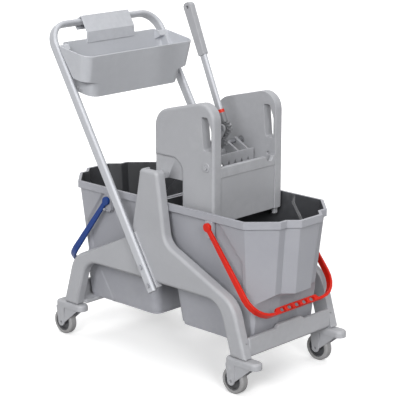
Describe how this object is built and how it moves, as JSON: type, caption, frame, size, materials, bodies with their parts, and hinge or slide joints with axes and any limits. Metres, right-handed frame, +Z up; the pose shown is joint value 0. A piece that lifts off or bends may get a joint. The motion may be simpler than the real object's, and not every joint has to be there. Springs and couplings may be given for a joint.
{
  "type": "double mop bucket trolley",
  "caption": "Wheeled mop trolley with two lift-out buckets on swinging bails, a lever press wringer over one of them, a leaning push handle and a hook-on basket.",
  "frame": {"origin": "On the floor under the middle of the chassis", "axes": "+X along the trolley from the push handle to the wringer end, +Y across to the far side, +Z up"},
  "size_m": [0.83, 0.438, 0.9905],
  "materials": {
    "chassis_plastic": "lightly grained grey moulding",
    "bucket_plastic": "grey moulding with a bluish cast",
    "basket_plastic": "lightly grained grey moulding",
    "red_plastic": "satin red moulding",
    "blue_plastic": "satin blue moulding",
    "tube_metal": "brushed along the tube",
    "steel": "plated",
    "dark_plastic": "dark grey moulding",
    "hub_plastic": "dark grey moulding",
    "tread_rubber": "grey tread"
  },
  "bodies": {
    "chassis": {"side_frame_near": "chassis_plastic", "side_frame_far": "chassis_plastic", "end_beam_left": "chassis_plastic", "end_beam_right": "chassis_plastic", "centre_bridge": "chassis_plastic", "handle_tube": "tube_metal", "handle_plugs": "dark_plastic", "handle_bolts": "steel", "caster_stem_1": "steel", "caster_stem_2": "steel", "caster_stem_3": "steel", "caster_stem_4": "steel"},
    "left_bucket": {"bucket_left": "bucket_plastic", "bail_ears_left": "bucket_plastic"},
    "right_bucket": {"bucket_right": "bucket_plastic", "bail_ears_right": "bucket_plastic"},
    "blue_bail": {"bail_left": "blue_plastic"},
    "red_bail": {"bail_right": "red_plastic"},
    "basket_unit": {"basket": "basket_plastic"},
    "wringer": {"wringer_side_near": "chassis_plastic", "wringer_side_far": "chassis_plastic", "wringer_box": "chassis_plastic", "wringer_screws": "chassis_plastic", "lever_bracket": "chassis_plastic", "press_bushes": "dark_plastic"},
    "press": {"press_shaft": "steel", "press_plate": "chassis_plastic", "press_sector": "dark_plastic"},
    "lever": {"lever_pin": "steel", "lever_hub": "dark_plastic", "lever_collar": "red_plastic", "lever_tube": "tube_metal", "lever_grip": "chassis_plastic"},
    "fork_1": {"caster_fork_1": "chassis_plastic", "caster_axle_1": "dark_plastic"},
    "wheel_1": {"caster_hub_1": "hub_plastic", "caster_tyre_1": "tread_rubber"},
    "fork_2": {"caster_fork_2": "chassis_plastic", "caster_axle_2": "dark_plastic"},
    "wheel_2": {"caster_hub_2": "hub_plastic", "caster_tyre_2": "tread_rubber"},
    "fork_3": {"caster_fork_3": "chassis_plastic", "caster_axle_3": "dark_plastic"},
    "wheel_3": {"caster_hub_3": "hub_plastic", "caster_tyre_3": "tread_rubber"},
    "fork_4": {"caster_fork_4": "chassis_plastic", "caster_axle_4": "dark_plastic"},
    "wheel_4": {"caster_hub_4": "hub_plastic", "caster_tyre_4": "tread_rubber"}
  },
  "joints": [
    {"name": "swivel_1", "type": "hinge", "parent": "chassis", "child": "fork_1", "pos_m": [-0.339, -0.174, 0.1], "axis": [0, 0, 1], "continuous": true},
    {"name": "roll_1", "type": "hinge", "parent": "fork_1", "child": "wheel_1", "pos_m": [-0.373, -0.174, 0.0375], "axis": [0, 1, 0], "continuous": true},
    {"name": "swivel_2", "type": "hinge", "parent": "chassis", "child": "fork_2", "pos_m": [-0.339, 0.174, 0.1], "axis": [0, 0, 1], "continuous": true},
    {"name": "roll_2", "type": "hinge", "parent": "fork_2", "child": "wheel_2", "pos_m": [-0.373, 0.174, 0.0375], "axis": [0, 1, 0], "continuous": true},
    {"name": "swivel_3", "type": "hinge", "parent": "chassis", "child": "fork_3", "pos_m": [0.339, -0.174, 0.1], "axis": [0, 0, 1], "continuous": true},
    {"name": "roll_3", "type": "hinge", "parent": "fork_3", "child": "wheel_3", "pos_m": [0.305, -0.174, 0.0375], "axis": [0, 1, 0], "continuous": true},
    {"name": "swivel_4", "type": "hinge", "parent": "chassis", "child": "fork_4", "pos_m": [0.339, 0.174, 0.1], "axis": [0, 0, 1], "continuous": true},
    {"name": "roll_4", "type": "hinge", "parent": "fork_4", "child": "wheel_4", "pos_m": [0.305, 0.174, 0.0375], "axis": [0, 1, 0], "continuous": true},
    {"name": "left_bucket_lift", "type": "slide", "parent": "chassis", "child": "left_bucket", "axis": [0, 0, 1], "range_m": [0, 0.055]},
    {"name": "right_bucket_lift", "type": "slide", "parent": "chassis", "child": "right_bucket", "axis": [0, 0, 1], "range_m": [0, 0.04]},
    {"name": "blue_bail_swing", "type": "hinge", "parent": "left_bucket", "child": "blue_bail", "pos_m": [-0.196, 0, 0.433], "axis": [0, 1, 0], "range_deg": [0, 105]},
    {"name": "red_bail_swing", "type": "hinge", "parent": "right_bucket", "child": "red_bail", "pos_m": [0.196, 0, 0.433], "axis": [0, -1, 0], "range_deg": [0, 130]},
    {"name": "wringer_lift", "type": "slide", "parent": "chassis", "child": "wringer", "axis": [0, 0, 1], "range_m": [0, 0.2]},
    {"name": "lever_swing", "type": "hinge", "parent": "wringer", "child": "lever", "pos_m": [0.10204, 0, 0.66105], "axis": [0, 1, 0], "range_deg": [0, 65]},
    {"name": "press_swing", "type": "hinge", "parent": "wringer", "child": "press", "pos_m": [0.0635, 0, 0.606], "axis": [0, 1, 0], "range_deg": [-26, 0]},
    {"name": "basket_lift", "type": "slide", "parent": "chassis", "child": "basket_unit", "axis": [-0.515, 0, 0.8572], "range_m": [0, 0.03]}
  ],
  "couplings": [
    {"joint": "press_swing", "follows": "lever_swing", "ratio": -0.4}
  ]
}
